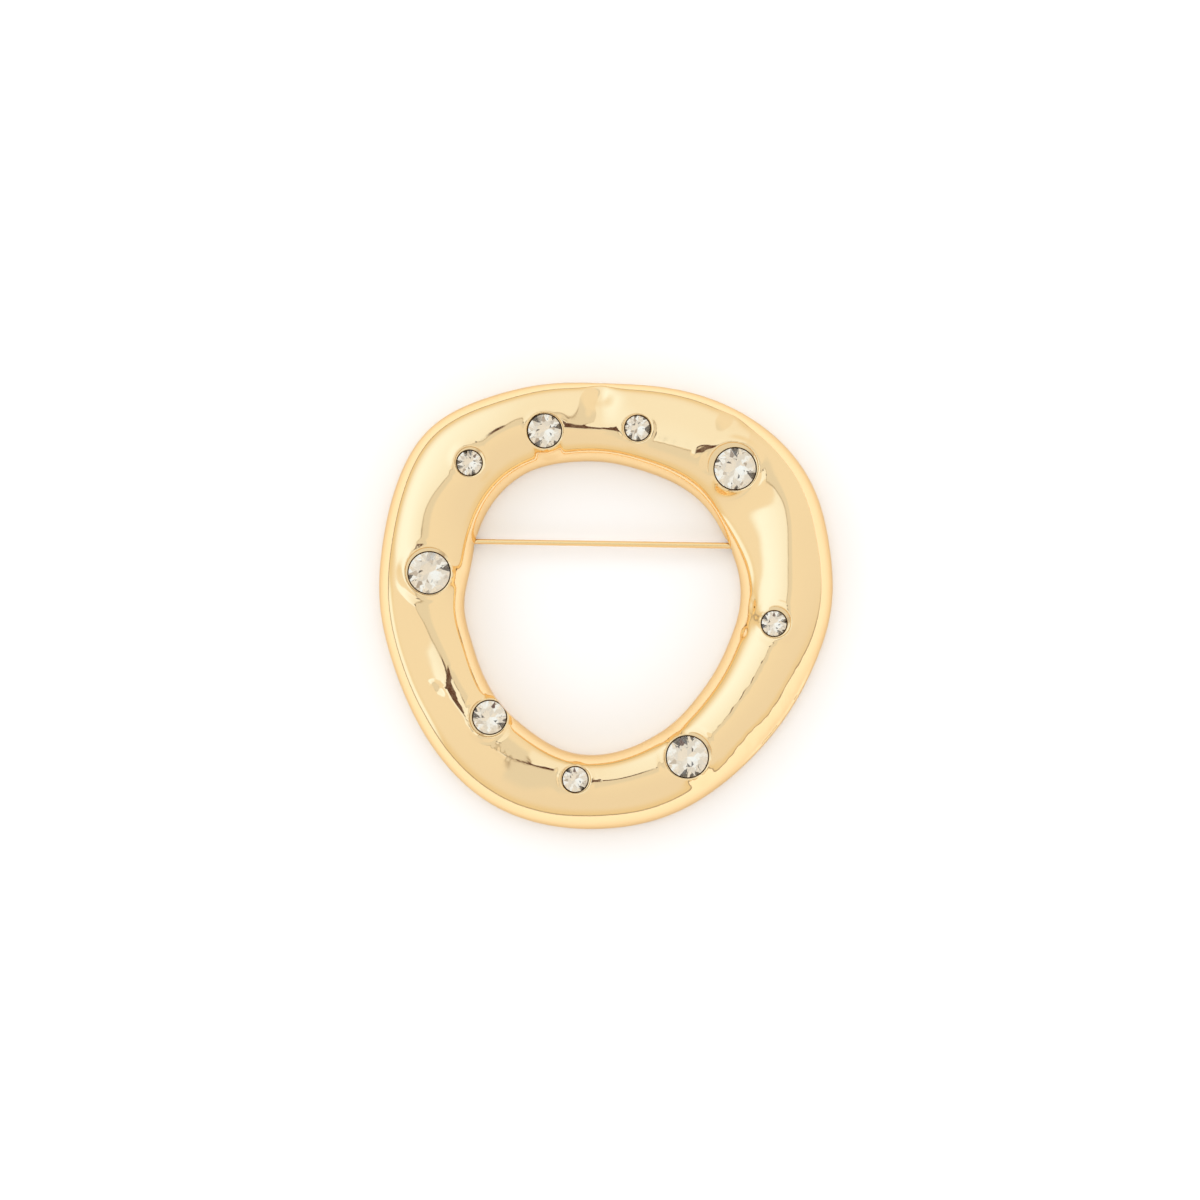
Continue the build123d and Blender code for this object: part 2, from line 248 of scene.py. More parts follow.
class FindingSizes(bpy.types.PropertyGroup):
    """Sizes of the pin and its findings, in millimetres"""

    wire: setting("Wire", "Diameter of the wire at the hinge", 0.70)
    wire_at_catch: setting("Wire at catch", "Diameter of the wire at its catch", 0.56)
    point: setting("Point", "Length of the sharp point", 2.0)
    eye: setting("Eye", "Diameter of the flattened eye", 1.7)
    eye_thickness: setting("Eye thickness", "Thickness of the eye", 0.64)
    rivet: setting("Rivet", "Diameter of the rivet", 0.64)
    rivet_head: setting("Rivet head", "Diameter of a rivet head", 1.1)
    rivet_head_thickness: setting("Rivet head thickness", "Thickness of a head", 0.22)
    running: setting("Running clearance", "Room round the rivet in the eye", 0.05)
    seat: setting("Seat clearance", "Room round the rivet in the ears", 0.02)
    ear: setting("Ear", "Thickness of an ear", 0.42)
    ear_clearance: setting("Ear clearance", "Room between eye and ear", 0.07)
    base: setting("Base", "Thickness of a finding's base", 0.45)
    base_length: setting("Base length", "Length of that base along the pin", 2.6)
    catch_length: setting("Catch length", "Length of the hook along the pin", 1.5)
    catch_wall: setting("Catch wall", "Wall of the hook", 0.38)
    catch_room: setting("Catch room", "Room round the wire in the hook", 0.20)
    catch_mouth: setting("Catch mouth", "Width of the hook's mouth", 0.76)
    edge: setting("Edge", "Round of the stamped edges", 0.05)


class Finish(bpy.types.PropertyGroup):
    """Colours of the finishes, as sRGB hex values"""

    gold: setting("Gold", "Pale gold plate", "#ffe0ac")
    gold_aslant: setting("Gold aslant", "That plate seen aslant", "#eadbc4")
    back_gold: setting("Back gold", "Unpolished plate at the back", "#f2cd92")
    # Darker than the ring's gold: painted shade for the crevice round each crystal, on plate that is also
    # dull
    socket_gold_painted_shade: setting("Socket gold", "Thin plate down in a socket", "#e2b676")
    wire_gold: setting("Wire gold", "Plate on the drawn wire", "#fbd79c")
    foil: setting("Foil", "Silver foil behind the crystals", "#fbf3e6")
    # Dark grey mixed into a few facets: a painted reflection of dark surroundings in the crystals
    foil_painted_dark_reflection: setting("Dim foil", "Foil seen through a dim facet", "#6f675f")
    glass: setting("Glass", "Crystal glass", "#ffffff")
    floor: setting("Floor", "Pale floor", "#ffffff")


class StageSizes(bpy.types.PropertyGroup):
    """The camera and the floor, in metres, and the lamp"""

    height: setting("Camera height", "Height above the back", 1.0, unit="LENGTH")
    frame_width: setting("Frame", "Width of the picture at the brooch", 0.132, unit="LENGTH")
    aside: setting("Aside", "The camera's X", -0.00066, unit="LENGTH")
    ahead: setting("Ahead", "The camera's Y", 0.00066, unit="LENGTH")
    floor_width: setting("Floor width", "Width of the floor", 4.0, unit="LENGTH")
    floor_drop: setting("Floor drop", "Its depth under the back", 0.00002, unit="LENGTH")
    lamp_strength: setting("Lamp strength", "Strength of the soft lamp", 0.5)
    lamp_spread: setting("Lamp spread", "Angle it fills", radians(70), subtype="ANGLE")
    lamp_tilt: setting("Lamp tilt", "Its lean about X", radians(-18), subtype="ANGLE")


# Small tools

def linear(code):
    """An sRGB hex colour as linear red, green, blue and alpha."""
    parts = [int(code[k:k + 2], 16) / 255 for k in (1, 3, 5)]
    return [p / 12.92 if p <= 0.04045 else ((p + 0.055) / 1.055) ** 2.4 for p in parts] + [1.0]


def add(tree, kind, links=(), **settings):
    """Adds a node, sets its properties or input values, and links its inputs to given outputs."""
    node = tree.nodes.new(kind)
    for name, value in settings.items():
        if hasattr(node, name):
            setattr(node, name, value)
        else:
            node.inputs[name.replace("_", " ")].default_value = value
    for name, output in dict(links).items():
        tree.links.new(output, node.inputs[name])
    return node


def box_mm(node):
    """A CAD node's lowest and highest corners in millimetres."""
    low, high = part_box(node)
    return low / MM, high / MM


def deselect():
    """Leaves nothing selected."""
    if bpy.context.object and bpy.context.object.mode != "OBJECT":
        bpy.ops.object.mode_set(mode="OBJECT")
    bpy.ops.object.select_all(action="DESELECT")


def make_active(obj):
    """Selects one object alone."""
    deselect()
    obj.select_set(True)
    bpy.context.view_layer.objects.active = obj


def edit(obj, mode="FACE"):
    """Opens an object in edit mode with nothing selected."""
    make_active(obj)
    bpy.ops.object.mode_set(mode="EDIT")
    bpy.ops.mesh.select_mode(type=mode)
    bpy.ops.mesh.select_all(action="DESELECT")


def apply_modifier(obj, kind, **settings):
    """Adds a modifier and applies it."""
    make_active(obj)
    modifier = obj.modifiers.new(kind.lower(), kind)
    for name, value in settings.items():
        setattr(modifier, name, value)
    bpy.ops.object.modifier_apply(modifier=modifier.name)


def boolean(obj, cutter, operation="DIFFERENCE"):
    """Cuts one mesh with another, or joins them, and deletes the other."""
    apply_modifier(obj, "BOOLEAN", object=cutter, operation=operation, solver="EXACT")
    bpy.data.objects.remove(cutter)


def bake_place(obj):
    """Puts an object's place in its mesh."""
    obj.data.transform(obj.matrix_world)
    obj.matrix_world = Matrix.Identity(4)


def close_mesh(obj):
    """Merges a mesh's doubles and points its faces outwards."""
    edit(obj, "VERT")
    bpy.ops.mesh.select_all(action="SELECT")
    bpy.ops.mesh.remove_doubles(threshold=1e-5)
    bpy.ops.mesh.normals_make_consistent(inside=False)
    bpy.ops.object.mode_set(mode="OBJECT")


def lathe(name, profile, steps):
    """A solid turned about Z from a profile of radius and height, from axis to axis."""
    mesh = bpy.data.meshes.new(name)
    mesh.from_pydata([(r, 0, z) for r, z in profile], [(k, k + 1) for k in range(len(profile) - 1)], [])
    obj = bpy.data.objects.new(name, mesh)
    bpy.context.scene.collection.objects.link(obj)
    edit(obj, "VERT")
    bpy.ops.mesh.select_all(action="SELECT")
    bpy.ops.mesh.spin(steps=steps, angle=2 * pi, center=(0, 0, 0), axis=(0, 0, 1))
    close_mesh(obj)
    return obj


def finish_piece(obj, name, body, nodes, angle):
    """Brings a piece to metres, shades it, and sets it on its body in place of its nodes."""
    obj.name = obj.data.name = name
    obj.data.transform(Matrix.Scale(MM, 4))
    make_active(obj)
    if angle:
        bpy.ops.object.shade_smooth_by_angle(angle=radians(angle))
    else:
        bpy.ops.object.shade_flat()
    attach(obj, body)
    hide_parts(*nodes)


def give(obj, *materials):
    """Gives a piece its materials, one for each of its slots."""
    while obj.data.materials:
        obj.data.materials.pop()
    for material in materials:
        obj.data.materials.append(material)


# Materials

def new_material(name):
    """An empty node material and its output."""
    found = bpy.data.materials.get(name)
    if found:
        bpy.data.materials.remove(found)
    material = bpy.data.materials.new(name)
    material.use_nodes = True
    tree = material.node_tree
    tree.nodes.clear()
    return material, tree, add(tree, "ShaderNodeOutputMaterial")


def polished_gold_plate(colour, aslant):
    """Gold plate over polished cast zinc alloy: mirror bright, with the slight waves of hand-worked wax."""
    material, tree, out = new_material("polished_gold_plate")
    place = add(tree, "ShaderNodeTexCoord").outputs["Object"]
    # Waves of the wax about 3 mm long, and tumbling marks about 0.5 mm long
    waves = add(tree, "ShaderNodeTexNoise", {"Vector": place},
                Scale=1 / (3.0 * MM), Detail=1.5, Roughness=0.4)
    marks = add(tree, "ShaderNodeTexNoise", {"Vector": place},
                Scale=1 / (0.5 * MM), Detail=2.0, Roughness=0.5)
    sheen = add(tree, "ShaderNodeMapRange", {"Value": marks.outputs["Fac"]}, From_Min=0.3, From_Max=0.7,
                To_Min=0.05, To_Max=0.09)
    wavy = add(tree, "ShaderNodeBump", {"Height": waves.outputs["Fac"]}, Strength=1.0, Distance=0.012 * MM)
    fine = add(tree, "ShaderNodeBump", {"Height": marks.outputs["Fac"], "Normal": wavy.outputs["Normal"]},
               Strength=1.0, Distance=0.0006 * MM)
    gloss = add(tree, "ShaderNodeBsdfPrincipled",
                {"Roughness": sheen.outputs["Result"], "Normal": fine.outputs["Normal"]},
                Base_Color=linear(colour), Metallic=1.0, Specular_Tint=linear(aslant))
    tree.links.new(gloss.outputs["BSDF"], out.inputs["Surface"])
    return material


def plain_gold(name):
    """Gold plate left satin or only softly polished: it blurs what it mirrors, and has a fine grain."""
    plate = PLATES[name]
    colour = getattr(bpy.context.scene.brooch_finish, plate.colour)
    material, tree, out = new_material(name)
    place = add(tree, "ShaderNodeTexCoord").outputs["Object"]
    grain = add(tree, "ShaderNodeTexNoise", {"Vector": place},
                Scale=1 / (plate.grain * MM), Detail=3.0, Roughness=0.6)
    bump = add(tree, "ShaderNodeBump", {"Height": grain.outputs["Fac"]},
               Strength=1.0, Distance=plate.depth * MM)
    gloss = add(tree, "ShaderNodeBsdfPrincipled", {"Normal": bump.outputs["Normal"]},
                Base_Color=linear(colour), Metallic=1.0, Roughness=plate.roughness)
    tree.links.new(gloss.outputs["BSDF"], out.inputs["Surface"])
    return material


def cut_crystal(colour):
    """Polished crystal glass: clear, and it breaks the light of the foil behind it into sparks."""
    material, tree, out = new_material("cut_crystal")
    gloss = add(tree, "ShaderNodeBsdfPrincipled", Base_Color=linear(colour), Roughness=0.0, IOR=1.56,
                Transmission_Weight=1.0)
    tree.links.new(gloss.outputs["BSDF"], out.inputs["Surface"])
    return material


def silver_foil_painted_reflections(colour, dim):
    """Vacuum-silvered and lacquered foil on the pavilion: it returns the light through the crown. On a few
    facets its colour is mixed toward dark grey, a painted reflection of dark surroundings.
    """
    material, tree, out = new_material("silver_foil_painted_reflections")
    # Each facet's tone mixes the foil toward dark grey on a few facets: a painted reflection of dark
    # surroundings
    tone = add(tree, "ShaderNodeAttribute", attribute_name="facet_painted_reflection")
    shade = add(tree, "ShaderNodeMix", {"Factor": tone.outputs["Fac"]}, data_type="RGBA")
    shade.inputs[6].default_value = linear(dim)
    shade.inputs[7].default_value = linear(colour)
    gloss = add(tree, "ShaderNodeBsdfPrincipled", {"Base Color": shade.outputs[2]},
                Metallic=1.0, Roughness=0.03)
    tree.links.new(gloss.outputs["BSDF"], out.inputs["Surface"])
    return material


# The ring

def round_spline(values, steps):
    """Values given evenly round a circle, joined by a smooth closed cubic spline."""
    count = len(values)
    waves = (4 + 2 * np.cos(2 * pi * np.arange(count) / count)) / 6
    knots = np.real(np.fft.ifft(np.fft.fft(np.array(values, float)) / waves))
    at = np.arange(steps) * count / steps
    first = np.floor(at).astype(int)
    part = at - first
    weights = [(1 - part) ** 3, 3 * part**3 - 6 * part**2 + 4,
               -3 * part**3 + 3 * part**2 + 3 * part + 1, part**3]
    return sum(w * knots[(first + k - 1) % count] for k, w in enumerate(weights)) / 6


def column(table, name, steps):
    """One named column of a table, smoothly joined round the ring."""
    return round_spline([getattr(row, name) for row in table], steps)


def quarter(across, rise, full, count):
    """A superellipse from (across, 0) to (0, rise), in count even steps."""
    turn = np.linspace(0, pi / 2, 241)
    x = across * np.cos(turn).clip(0) ** (2 / full)
    z = rise * np.sin(turn) ** (2 / full)
    length = np.concatenate([[0], np.cumsum(np.hypot(np.diff(x), np.diff(z)))])
    even = np.linspace(0, length[-1], count + 1)
    return np.interp(even, length, x), np.interp(even, length, z)


def smooth_step(value, low, high):
    """0 below low, 1 above high, and an S between them."""
    part = np.clip((value - low) / (high - low), 0, 1)
    return part * part * (3 - 2 * part)


def ring_grid(sizes):
    """Radius and height of every section point, by azimuth and then round the section from the outer edge."""
    steps = sizes.steps_round
    outer = sizes.outer_half_width * column(BAND_SECTIONS, "outer", steps)
    hole = sizes.hole_half_width * column(BAND_SECTIONS, "hole", steps)
    crest = outer - (outer - hole) * column(BAND_SECTIONS, "crest", steps)
    height = sizes.thickness * column(BAND_SECTIONS, "height", steps)
    shape = [column(SHOULDERS, name, steps) for name in Shoulder._fields]
    shoulder, back, round_off = sizes.steps_shoulder, sizes.steps_back, sizes.back_rounding
    rows = []
    for k in range(steps):
        outer_edge, outer_full, inner_edge, inner_full = [values[k] for values in shape]
        x, z = quarter(outer[k] - crest[k], height[k] - outer_edge, outer_full, shoulder)
        front_out = np.stack([crest[k] + x, outer_edge + z], 1)
        x, z = quarter(crest[k] - hole[k], height[k] - inner_edge, inner_full, shoulder)
        front_in = np.stack([crest[k] - x, inner_edge + z], 1)[::-1]
        x, z = quarter(round_off, inner_edge, 2, back)
        back_in = np.stack([hole[k] + round_off - x, inner_edge - z], 1)
        x, z = quarter(round_off, outer_edge, 2, back)
        back_out = np.stack([outer[k] - round_off + x, outer_edge - z], 1)[::-1]
        flat = np.linspace(back_in[-1], back_out[0], back + 1)
        rows.append(np.concatenate([front_out[:-1], front_in[:-1], back_in[:-1], flat[:-1], back_out[:-1]]))
    return np.array(rows)


def wander(x, y, wave, seed):
    """Smooth noise between about -0.5 and 0.5, with waves of a given length."""
    places = np.stack([x, y], -1).reshape(-1, 2) / wave
    return np.array([noise.noise(Vector((px, py, seed))) for px, py in places]).reshape(x.shape)


def relief(x, y, uneven):
    """How far the presses lower the front at places given in millimetres."""
    drop = np.zeros_like(x)
    for press in PRESSES:
        along = (x - press.x) * cos(radians(press.turn)) + (y - press.y) * sin(radians(press.turn))
        aside = (y - press.y) * cos(radians(press.turn)) - (x - press.x) * sin(radians(press.turn))
        reach = (2 * along / press.length) ** 2 + (2 * aside / press.width) ** 2
        drop += (press.depth + press.rough * uneven) * np.exp(-reach)
    return drop


def path_distance(x, y, path):
    """How far places lie outside a path with its own width at each of its points."""
    nearest = np.full(x.shape, np.inf)
    for (x0, y0, w0), (x1, y1, w1) in zip(path, path[1:]):
        run = hypot(x1 - x0, y1 - y0)
        share = np.clip(((x - x0) * (x1 - x0) + (y - y0) * (y1 - y0)) / run**2, 0, 1)
        away = np.hypot(x - x0 - share * (x1 - x0), y - y0 - share * (y1 - y0)) - w0 - share * (w1 - w0)
        nearest = np.minimum(nearest, away)
    return nearest


def smooth_flats(x, y, z, ragged, camera):
    """Lays the front on the plane of each flat."""
    for flat in FLATS:
        away = path_distance(x, y, flat.path) + ragged
        inside = (away < FLAT_CORE) & (z > FLATS_ABOVE)
        middle = Vector((x[inside].mean(), y[inside].mean(), z[inside].mean()))
        seen = Vector((cos(radians(flat.azimuth)), sin(radians(flat.azimuth)), tan(radians(flat.elevation))))
        normal = (camera - middle).normalized() + seen.normalized()
        plane = middle.z - ((x - middle.x) * normal.x + (y - middle.y) * normal.y) / normal.z
        z += (plane - z) * (1 - smooth_step(away, 0, flat.soft)) * (z > FLATS_ABOVE)


Seat = namedtuple("Seat", "x y girdle radius land cup aside")


def crystal_place(node):
    """X and Y of a crystal's middle, the height of its girdle's upper edge, and its diameter."""
    low, high = box_mm(node)
    middle = (low + high) / 2
    diameter = (high.z - low.z) / (CUT.crown + CUT.girdle + CUT.pavilion)
    return middle.x, middle.y, low.z + (CUT.girdle + CUT.pavilion) * diameter, diameter


def seats():
    """Where each crystal sits, from its node's place in the frame."""
    found = []
    for row in CRYSTALS:
        x, y, girdle, diameter = crystal_place(row.node)
        aside = CUP_SHIFT * row.cup * Vector((cos(radians(row.toward)), sin(radians(row.toward))))
        found.append(Seat(x, y, girdle, diameter / 2, row.land, row.cup, aside))
    return found


def level_lands(x, y, z, found, sizes):
    """Flattens the front round each cup, raises its rim, and draws its wall up where the front is low."""
    for seat in found:
        reach = np.hypot(x - seat.x - seat.aside.x, y - seat.y - seat.aside.y)
        wall = seat.radius + sizes.socket_gap + seat.cup
        near = (abs(reach - wall - sizes.lip_flat) < FIT_WIDTH) & (z > seat.girdle - FIT_DEPTH)
        fit = np.stack([x[near] - seat.x, y[near] - seat.y, np.ones(near.sum())], 1)
        slope_x, slope_y, level = np.linalg.lstsq(fit, z[near], rcond=None)[0]
        plane = level + slope_x * (x - seat.x) + slope_y * (y - seat.y)
        flat = 1 - smooth_step(reach, wall + sizes.lip_flat, wall + sizes.lip_flat + sizes.lip_blend)
        high = smooth_step(z, *LAND_FADE)
        z += (plane - z) * flat * high * seat.land
        rim = np.exp(-((reach - wall - sizes.rim_width) / sizes.rim_width) ** 2)
        z += sizes.rim_height * rim * smooth_step(z, *RIM_FADE)
        # On its low side the wall of a cup is drawn up to hold the crystal
        held = np.hypot(x - seat.x, y - seat.y) - seat.radius - sizes.socket_gap
        least = seat.girdle + WALL_TOP - WALL_FALL * np.maximum(held - WALL_WIDTH, 0)
        raised = (z + least + np.sqrt((z - least) ** 2 + WALL_SOFT)) / 2 - z
        z += raised * (1 - smooth_step(held, *WALL_REACH)) * smooth_step(z, *WALL_FADE)


def socket_cutter(seat, sizes, tree):
    """The room a crystal needs: a cone for its pavilion, a ledge in its cup, and a rolled lip in front."""
    wall, diameter = seat.radius + sizes.socket_gap, 2 * seat.radius
    floor = seat.girdle - (CUT.girdle + CUT.pavilion) * diameter
    # Outside the lip the cutter widens by flare and ends at a height of clear over the front
    roll, flare, clear = sizes.lip_radius, 0.25, 3.0
    foot, blunt, slack = floor - 0.06, 0.10, 0.02
    lip = wall + seat.cup
    rolled = [(lip + roll * (1 - cos(radians(a))), roll * (sin(radians(a)) - 1)) for a in range(0, 81, 10)]
    out = rolled[-1][0] + flare
    profile = [(0, foot), (blunt, foot), (wall, seat.girdle - CUT.girdle * diameter - slack),
               (wall + slack, seat.girdle)]
    profile += [(r, LIP_MARK + z) for r, z in rolled] + [(out, LIP_MARK + flare * tan(radians(12)))]
    profile += [(out, LIP_MARK + clear), (0, LIP_MARK + clear)]
    cutter = lathe("socket", profile, 72)
    # The faces cut down in a socket take the darker socket plate, which paints shade into the crevice round
    # the crystal, and the lip stays polished
    for face in cutter.data.polygons:
        face.material_index = SOCKET if face.center.z < LIP_MARK / 2 else POLISHED
    for vertex in cutter.data.vertices:
        vertex.co.x += seat.x
        vertex.co.y += seat.y
        # What was turned at the mark is the lip, which is laid on the front
        if vertex.co.z > LIP_MARK - 2 * roll:
            vertex.co.x += seat.aside.x
            vertex.co.y += seat.aside.y
            hit = tree.ray_cast(Vector((vertex.co.x, vertex.co.y, 2 * LIP_MARK)), -UP)[0]
            level = max(hit.z if hit else 0, seat.girdle + 0.04)
            down = min(vertex.co.z - LIP_MARK, 0) / roll * (level - seat.girdle - 0.01 - roll)
            vertex.co.z += level - LIP_MARK + down
    return cutter


class BROOCH_OT_ring(bpy.types.Operator):
    """Model the hand-formed ring with its sockets, and the pockets in its back"""

    bl_idname = "brooch.ring"
    bl_label = "Ring"

    def execute(self, context):
        sizes = context.scene.brooch_ring
        grid = ring_grid(sizes)
        steps, round_section = grid.shape[:2]
        deselect()
        bpy.ops.mesh.primitive_grid_add(x_subdivisions=round_section, y_subdivisions=steps, size=1)
        ring = context.object
        grid = np.pad(grid, ((0, 1), (0, 1), (0, 0)), mode="wrap")
        turn = np.arange(steps + 1)[:, None] * 2 * pi / steps
        x, y, z = grid[:, :, 0] * np.cos(turn), grid[:, :, 0] * np.sin(turn), grid[:, :, 1]
        low, high = box_mm("ring_frame")
        x += (low.x + high.x - x.min() - x.max()) / 2
        y += (low.y + high.y - y.min() - y.max()) / 2
        # The front's part of each grid is shaped in place
        front_x, front_y, front_z = [part[:, :2 * sizes.steps_shoulder + 1] for part in (x, y, z)]
        edge = smooth_step(front_z, *PRESS_FADE)
        quick = wander(front_x, front_y, sizes.quick_wave, QUICK_SEED)
        front_z -= relief(front_x, front_y, quick) * edge
        front_z += sizes.slow_height * wander(front_x, front_y, sizes.slow_wave, SLOW_SEED) * edge
        stage = context.scene.brooch_stage
        camera = Vector((stage.aside, stage.ahead, stage.height)) / MM
        found = seats()
        level_lands(front_x, front_y, front_z, found, sizes)
        smooth_flats(front_x, front_y, front_z, sizes.ragged * quick, camera)
        # The grid's last column lies on its first
        z[:, -1] = z[:, 0]
        ring.data.vertices.foreach_set("co", np.stack([x, y, z], 2).astype(np.float32).ravel())
        close_mesh(ring)
        finish = context.scene.brooch_finish
        give(ring, polished_gold_plate(finish.gold, finish.gold_aslant),
             plain_gold("unpolished_gold_plate"), plain_gold("dull_socket_plate_painted_shade"))
        tree = BVHTree.FromObject(ring, context.evaluated_depsgraph_get())
        cutters = [socket_cutter(seat, sizes, tree) for seat in found] + [pocket_cutter(context)]
        make_active(cutters[0])
        for cutter in cutters:
            give(cutter, *ring.data.materials)
            cutter.select_set(True)
        bpy.ops.object.join()
        boolean(ring, cutters[0])
        for face in ring.data.polygons:
            if face.center.z < BACK_LEVEL and face.normal.z < BACK_NORMAL:
                face.material_index = BACK
        finish_piece(ring, "hand_formed_ring", "brooch", ["ring_frame"], angle=SMOOTH_RING)
        return {"FINISHED"}


# Crystals

def polar(radius, steps, height):
    """A point at a number of half facets round a crystal."""
    turn = pi * steps / FACETS_ROUND
    return Vector((radius * cos(turn), radius * sin(turn), height))


def facet_planes(diameter):
    """A point and the outward normal of every facet of the cut."""
    rim = diameter / 2
    table = CUT.table * rim
    star, lower = CUT.star_radius * diameter, CUT.break_radius * diameter
    top, girdle = CUT.crown * diameter, -CUT.girdle * diameter
    culet = girdle - CUT.pavilion * diameter
    half = cos(pi / FACETS_ROUND)
    star_height = top - top * (star * half - table) / (rim - table)
    lower_height = culet + (girdle - culet) * lower * half / rim
    corners = [(polar(table, 0, top), polar(table, 2, top), polar(table, 4, top))]
    for main in range(0, 2 * FACETS_ROUND, 2):
        side, after = main + 1, main + 2
        right, low_right = polar(star, side, star_height), polar(lower, side, lower_height)
        corners += [
            (polar(table, main, top), right, polar(table, after, top)),
            (polar(star, side - 2, star_height), polar(rim, main, 0), right),
            (right, polar(rim, main, 0), polar(rim, side, 0)),
            (right, polar(rim, side, 0), polar(rim, after, 0)),
            (polar(rim, main, girdle), polar(lower, side - 2, lower_height), low_right),
            (low_right, polar(rim, side, girdle), polar(rim, main, girdle)),
            (low_right, polar(rim, after, girdle), polar(rim, side, girdle)),
        ]
    middle = Vector((0, 0, girdle))
    for a, b, c in corners:
        normal = (b - a).cross(c - a).normalized()
        yield a, normal if normal.dot(a - middle) > 0 else -normal


def cut_stone(diameter):
    """A glass rod cut facet by facet to a round brilliant, with its girdle's upper edge on z = 0."""
    bottom = -(CUT.girdle + CUT.pavilion) * diameter
    top = CUT.crown * diameter
    deselect()
    bpy.ops.mesh.primitive_cylinder_add(vertices=96, radius=diameter / 2, depth=1.2 * (top - bottom),
                                        location=(0, 0, (top + bottom) / 2))
    stone = bpy.context.object
    bake_place(stone)
    for point, normal in facet_planes(diameter):
        edit(stone)
        bpy.ops.mesh.select_all(action="SELECT")
        bpy.ops.mesh.bisect(plane_co=point, plane_no=normal, use_fill=True, clear_outer=True, threshold=1e-5)
        bpy.ops.object.mode_set(mode="OBJECT")
    return stone


def paint_dark_facet_reflections(stone, turn, reach):
    """Paints a few of the outer facets dark, chosen by their directions, as painted reflections of dark
    surroundings, and leaves the others bright.
    """
    spread, clear_middle, dim, bright = 9.3, 0.45, -0.32, -0.2
    tones = stone.data.attributes.new("facet_painted_reflection", "FLOAT", "FACE")
    for face in stone.data.polygons:
        chance = noise.noise(Vector(face.normal) * spread + Vector((turn, 2 * turn, 0.5)))
        outer = hypot(face.center.x, face.center.y) > clear_middle * reach
        tones.data[face.index].value = smooth_step(chance, dim, bright) if outer else 1.0


class BROOCH_OT_crystals(bpy.types.Operator):
    """Cut the three sizes of crystal once, and set a copy in each socket"""

    bl_idname = "brooch.crystals"
    bl_label = "Crystals"

    def execute(self, context):
        finish = context.scene.brooch_finish
        glass, foil = cut_crystal(finish.glass), silver_foil_painted_reflections(finish.foil, finish.foil_painted_dark_reflection)
        cut = {}
        for row in CRYSTALS:
            x, y, girdle, diameter = crystal_place(row.node)
            if row.size not in cut:
                cut[row.size] = cut_stone(diameter)
                give(cut[row.size], glass, foil)
                # The foil covers every facet under the girdle
                for face in cut[row.size].data.polygons:
                    face.material_index = int(face.center.z < -CUT.girdle * diameter * 0.5)
            stone = bpy.data.objects.new(row.node, cut[row.size].data.copy())
            context.scene.collection.objects.link(stone)
            # A few facets of each crystal get painted dark reflections
            paint_dark_facet_reflections(stone, row.turn, diameter / 2)
            place = Matrix.Translation((x, y, girdle))
            stone.data.transform(place @ Matrix.Rotation(radians(row.turn), 4, "Z"))
            finish_piece(stone, row.node + "_cut", "brooch", [row.node], angle=0)
        for stone in cut.values():
            bpy.data.objects.remove(stone)
        return {"FINISHED"}


# Findings: local X runs from the hinge to the catch, local Z upwards, and the hinge is at the origin

def pin_place(context):
    """The pin's own place: its hinge, its direction, and the distance to the catch."""
    joint = frame["joints"][0]
    hinge = Vector(joint["pos_m"]) / MM
    side = -Vector(joint["axis"])
    low, high = box_mm("pin_catch")
    catch = (low + high) / 2
    along = UP.cross(side)
    reach = (Vector((catch.x, catch.y, 0)) - Vector((hinge.x, hinge.y, 0))).length
    turn = Matrix((along, -side, UP)).transposed().to_4x4()
    return Matrix.Translation(hinge) @ turn, reach


def block(size, middle):
    """A plain block to cut or join."""
    deselect()
    bpy.ops.mesh.primitive_cube_add(size=1, location=middle)
    bpy.context.object.scale = size
    bpy.context.view_layer.update()
    bake_place(bpy.context.object)
    return bpy.context.object


def rod(radius, length, middle=(0, 0, 0), direction="Y"):
    """A plain rod along Y or X, to cut or join."""
    turn = (pi / 2, 0, 0) if direction == "Y" else (0, pi / 2, 0)
    deselect()
    bpy.ops.mesh.primitive_cylinder_add(vertices=48, radius=radius, depth=length,
                                        location=middle, rotation=turn)
    bake_place(bpy.context.object)
    return bpy.context.object


def round_edges(obj, width):
    """Rounds the sharp edges as stamping and plating do."""
    apply_modifier(obj, "BEVEL", width=width, segments=3, limit_method="ANGLE", angle_limit=radians(50))


def ear_inside(sizes):
    """Distance from the middle of the pin to the inner side of an ear."""
    return max(sizes.eye_thickness, sizes.wire) / 2 + sizes.ear_clearance


def pocket_cutter(context):
    """The two pockets for the findings and the slot between them, open at the back."""
    sizes = context.scene.brooch_ring
    place, reach = pin_place(context)
    roof = sizes.pocket_roof - place.translation.z
    # It reaches 1 mm out of the back
    floor = -place.translation.z - 1
    pockets = []
    for at in (0, reach):
        pocket = block((sizes.pocket_length, sizes.pocket_width, roof - floor), (at, 0, (roof + floor) / 2))
        edit(pocket, "EDGE")
        for edge in bmesh.from_edit_mesh(pocket.data).edges:
            edge.select_set(abs(edge.verts[0].co.z - edge.verts[1].co.z) > 1)
        bpy.ops.mesh.bevel(offset=sizes.pocket_corner, segments=6, affect="EDGES")
        bpy.ops.object.mode_set(mode="OBJECT")
        pockets.append(pocket)
    slot_middle = (reach / 2, 0, (sizes.slot_top + floor) / 2)
    slot = block((reach, sizes.slot_width, sizes.slot_top - floor), slot_middle)
    for pocket in pockets:
        boolean(slot, pocket, "UNION")
    slot.data.transform(place)
    for face in slot.data.polygons:
        face.material_index = BACK
    return slot


